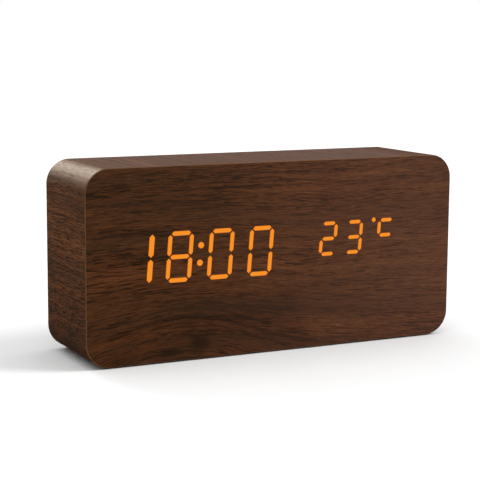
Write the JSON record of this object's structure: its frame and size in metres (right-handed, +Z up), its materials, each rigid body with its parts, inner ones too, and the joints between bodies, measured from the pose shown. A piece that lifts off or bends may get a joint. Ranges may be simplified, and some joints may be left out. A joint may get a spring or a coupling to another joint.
{
  "type": "digital alarm clock",
  "caption": "Rounded wood-grain box clock with a display that shines through the film, a hinged battery door, rear push buttons and a power inlet.",
  "frame": {"origin": "middle of the case's footprint, on the surface that its pads stand on", "axes": "+X to the right as the display is read, +Y to the back, where the battery door is, +Z up"},
  "size_m": [0.15, 0.04, 0.0705],
  "materials": {
    "mdf": "raw board edges, matt",
    "walnut_film": "dark walnut grain film, satin",
    "walnut_panel": "dark walnut grain film, satin",
    "pad_rubber": "matt",
    "display_glow": "thin film lit from behind",
    "light_guide": "milky clear",
    "diffuser": "matt white",
    "light_box_white": "moulded white",
    "circuit_board": "green solder resist",
    "led": "moulded, pale yellow",
    "chip": "moulded, matt",
    "tinned_pins": "tinned",
    "socket": "moulded, cream",
    "screw_steel": "zinc plated",
    "screw_black": "black plated",
    "black_abs": "moulded, fine texture",
    "cell_jacket": "printed jacket without marks",
    "nickel": "nickel plated",
    "nylon": "natural nylon",
    "button_plastic": "moulded, satin",
    "switch_plastic": "moulded",
    "switch_steel": "stamped",
    "jack_plastic": "moulded",
    "jack_pin": "plated",
    "buzzer_plastic": "moulded",
    "can": "drawn can",
    "thermistor_resin": "dipped resin",
    "capacitor_sleeve": "shrunk sleeve",
    "chip_ceramic": "fired",
    "coin_steel": "polished",
    "holder_plastic": "moulded",
    "ribbon": "grey",
    "lead_red": "sleeved wire",
    "lead_black": "sleeved wire"
  },
  "bodies": {
    "case": {"case_shell": "mdf", "front_board": "mdf", "front_veneer": "walnut_film", "side_veneer": "walnut_film", "rear_veneer": "walnut_film", "rear_panel": "walnut_panel", "base_pads": "pad_rubber", "time_digits_lit": "display_glow", "colon_lit": "display_glow", "temperature_digits_lit": "display_glow", "degree_c_lit": "display_glow", "time_light_guides": "light_guide", "temperature_light_guides": "light_guide", "diffuser_sheet": "diffuser", "time_light_box": "light_box_white", "temperature_light_box": "light_box_white", "display_board": "circuit_board", "main_board": "circuit_board", "display_leds": "led", "display_drivers": "chip", "controller": "chip", "display_driver_pins": "tinned_pins", "controller_pins": "tinned_pins", "display_socket": "socket", "main_socket": "socket", "display_screws": "screw_steel", "board_screws": "screw_steel", "panel_screws": "screw_black", "battery_box": "black_abs", "battery_cell_1": "cell_jacket", "battery_cell_2": "cell_jacket", "battery_cell_3": "cell_jacket", "battery_springs": "nickel", "battery_contacts": "nickel", "board_spacers": "nylon", "switch_bodies": "switch_plastic", "switch_frames": "switch_steel", "power_jack": "jack_plastic", "power_jack_pin": "jack_pin", "buzzer": "buzzer_plastic", "microphone": "can", "crystal": "can", "thermistor": "thermistor_resin", "capacitors": "capacitor_sleeve", "chip_parts": "chip_ceramic", "memory_cell": "coin_steel", "memory_cell_holder": "holder_plastic", "display_ribbon": "ribbon", "battery_lead_red": "lead_red", "battery_lead_black": "lead_black"},
    "battery_door": {"battery_door": "black_abs"},
    "set_button": {"set_button": "button_plastic", "set_plunger": "switch_plastic"},
    "up_button": {"up_button": "button_plastic", "up_plunger": "switch_plastic"},
    "down_button": {"down_button": "button_plastic", "down_plunger": "switch_plastic"}
  },
  "joints": [
    {"name": "battery_door_hinge", "type": "hinge", "parent": "case", "child": "battery_door", "pos_m": [-0.03135, 0.0188, 0.01535], "axis": [-1, 0, 0], "range_deg": [0, 70]},
    {"name": "set_button_press", "type": "slide", "parent": "case", "child": "set_button", "axis": [0, -1, 0], "range_m": [0, 0.0005], "stiffness_N_per_m": 400, "springref_m": -0.002},
    {"name": "up_button_press", "type": "slide", "parent": "case", "child": "up_button", "axis": [0, -1, 0], "range_m": [0, 0.0005], "stiffness_N_per_m": 400, "springref_m": -0.002},
    {"name": "down_button_press", "type": "slide", "parent": "case", "child": "down_button", "axis": [0, -1, 0], "range_m": [0, 0.0005], "stiffness_N_per_m": 400, "springref_m": -0.002}
  ]
}
